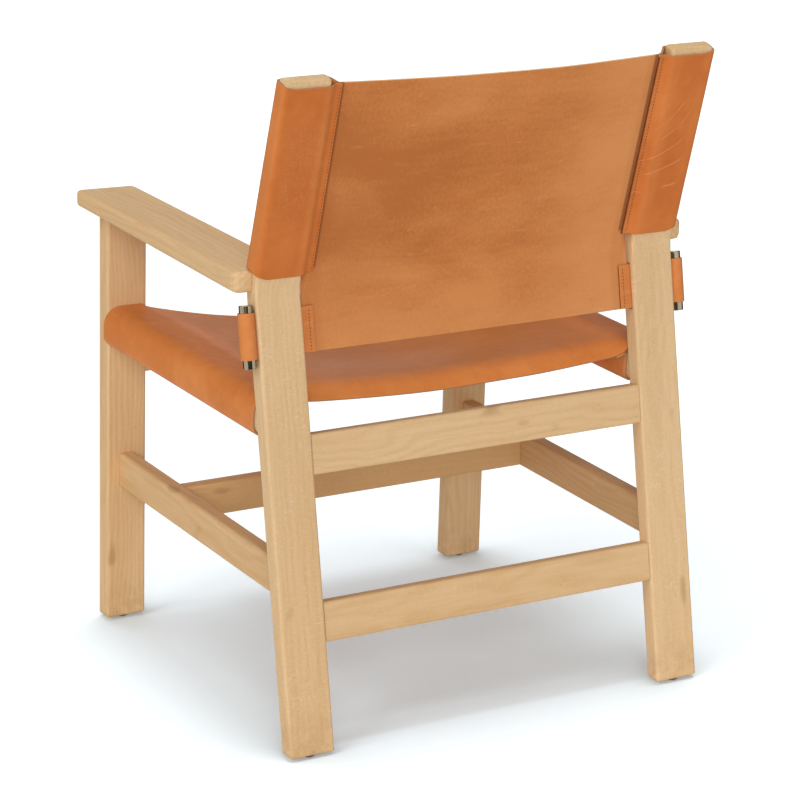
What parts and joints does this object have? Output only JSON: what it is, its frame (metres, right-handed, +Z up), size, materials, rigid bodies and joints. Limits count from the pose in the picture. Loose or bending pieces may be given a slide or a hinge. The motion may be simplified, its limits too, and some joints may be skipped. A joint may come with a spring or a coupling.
{
  "type": "sling lounge chair",
  "caption": "Low armchair with a flat-section oak frame, a leather sling seat sleeved over the side rails, and a leather sling back tied through the legs with straps and steel rods",
  "frame": {"origin": "on the floor, under the centre of the chair's bounding box", "axes": "+Z up, -Y the way the sitter faces, +X to the sitter's left"},
  "size_m": [0.6224, 0.5355, 0.7952],
  "materials": {
    "oak": "soaped, matt, straight grained pale oak",
    "smooth_leather": "vegetable tanned, smooth side out, light sheen",
    "back_leather": "vegetable tanned, matt on the rear of the panel and smooth on the sleeves",
    "steel": "polished stainless bar",
    "glide_plastic": "brown nylon"
  },
  "bodies": {
    "chair": {"front_leg_left": "oak", "front_leg_right": "oak", "rear_leg_left": "oak", "rear_leg_right": "oak", "armrest_left": "oak", "armrest_right": "oak", "seat_side_rail_left": "oak", "seat_side_rail_right": "oak", "side_stretcher_left": "oak", "side_stretcher_right": "oak", "front_seat_rail": "oak", "cross_stretcher": "oak", "upper_back_rail": "oak", "lower_back_rail": "oak", "arm_dowel_left_inner": "oak", "arm_dowel_left_outer": "oak", "arm_dowel_right_inner": "oak", "arm_dowel_right_outer": "oak", "seat_sling": "smooth_leather", "back_sling": "back_leather", "back_strap_left": "smooth_leather", "back_strap_right": "smooth_leather", "glide_front_left": "glide_plastic", "glide_rear_left": "glide_plastic", "glide_front_right": "glide_plastic", "glide_rear_right": "glide_plastic"},
    "rod_left": {"toggle_rod_left": "steel"},
    "rod_right": {"toggle_rod_right": "steel"}
  },
  "joints": [
    {"name": "rod_slide_left", "type": "slide", "parent": "chair", "child": "rod_left", "axis": [0, 0.1916, -0.9815], "range_m": [-0.014, 0.064]},
    {"name": "rod_slide_right", "type": "slide", "parent": "chair", "child": "rod_right", "axis": [0, 0.1916, -0.9815], "range_m": [-0.014, 0.064]}
  ]
}
